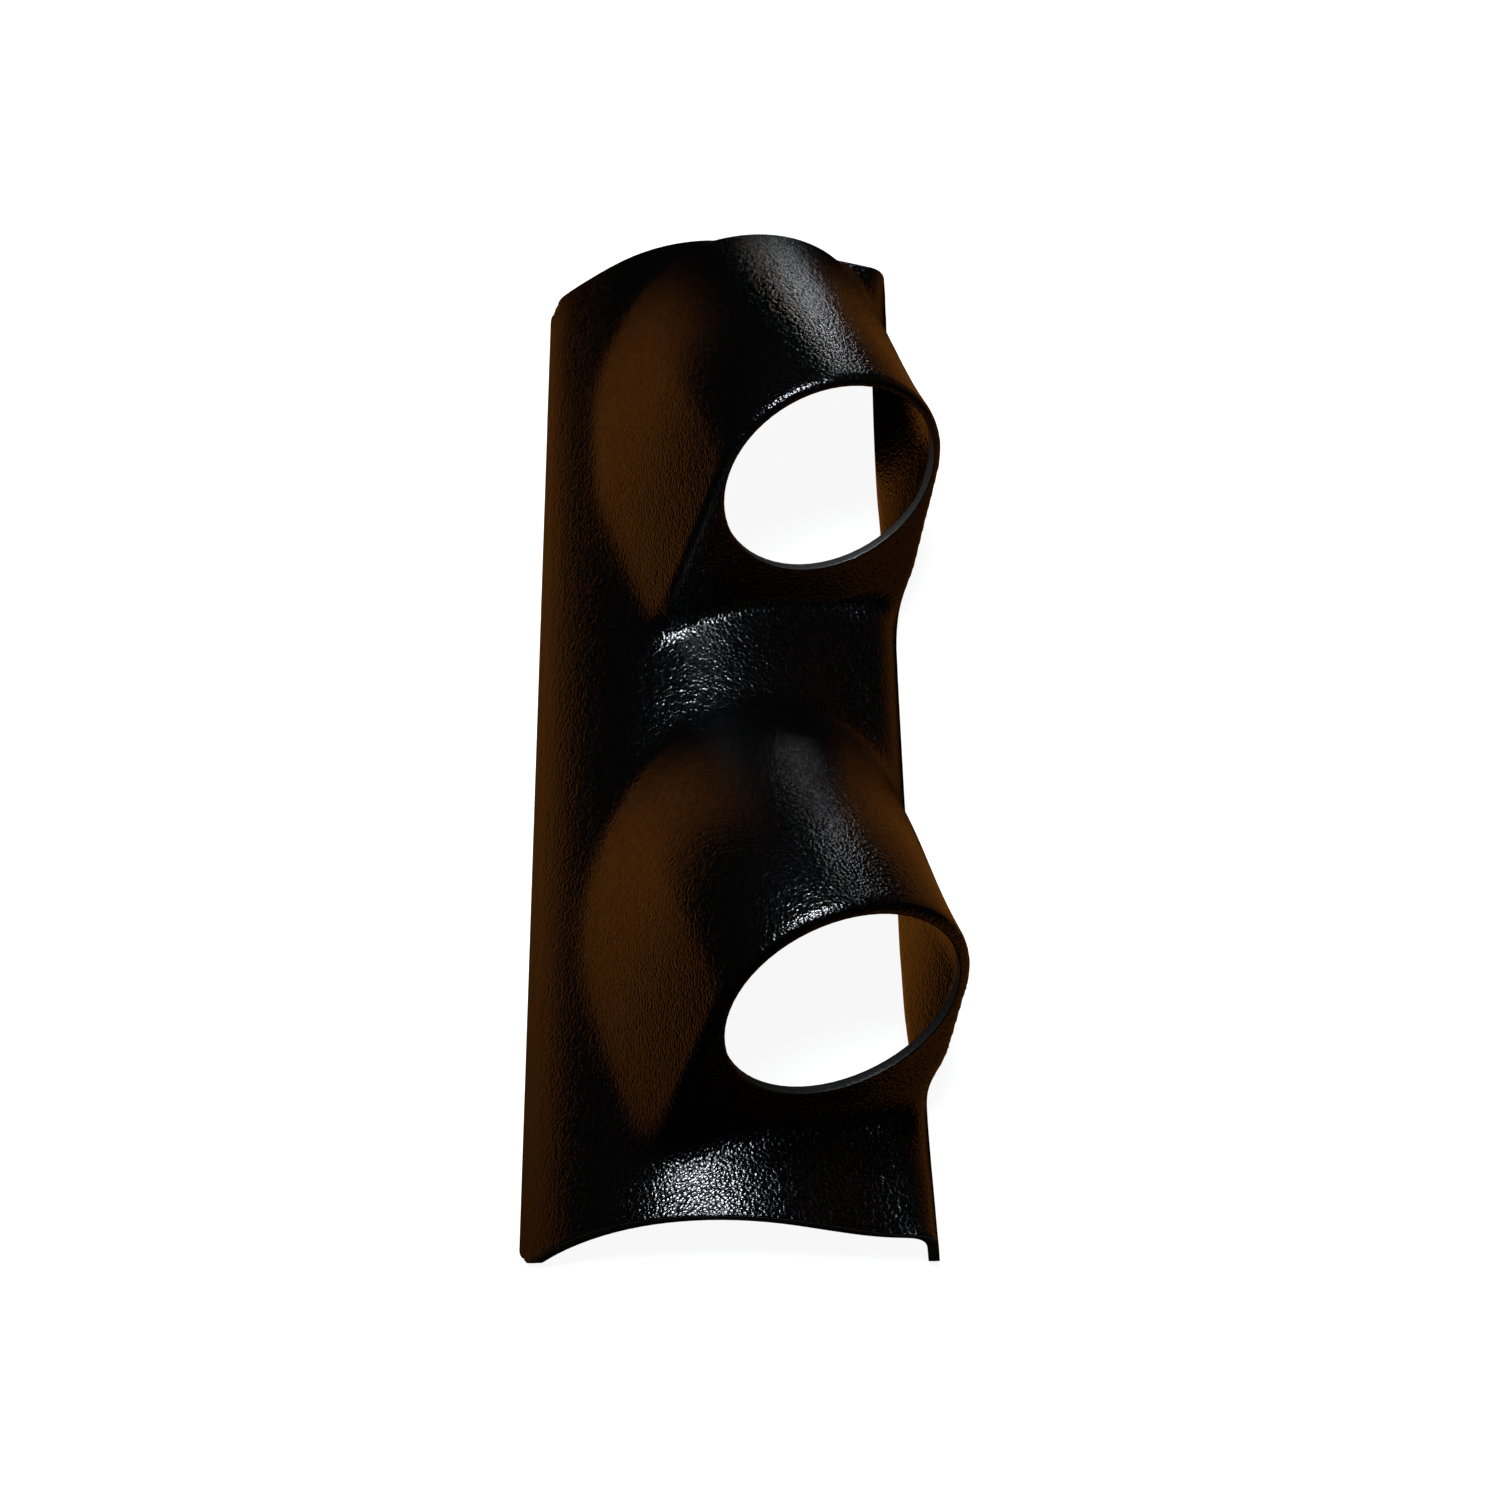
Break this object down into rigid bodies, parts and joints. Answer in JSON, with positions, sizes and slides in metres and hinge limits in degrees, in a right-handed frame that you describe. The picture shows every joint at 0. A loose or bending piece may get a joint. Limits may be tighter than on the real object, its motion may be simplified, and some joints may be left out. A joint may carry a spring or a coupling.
{
  "type": "windscreen pillar gauge pod",
  "caption": "Moulded shell for a car's windscreen pillar: a long arched strip with swept hoods, each with a round opening that holds a gauge tilted towards the driver.",
  "frame": {"origin": "middle of the overall width and of the overall length, on the plane of the open rear edges", "axes": "+Y along the strip towards its upper end, +Z out of the rear plane towards the hoods, +X towards the side that the gauges are turned to"},
  "size_m": [0.0996, 0.277, 0.0861],
  "materials": {
    "grained_plastic": "black leather grain, semi-gloss"
  },
  "bodies": {
    "root": {"pod_shell": "grained_plastic"}
  },
  "joints": []
}
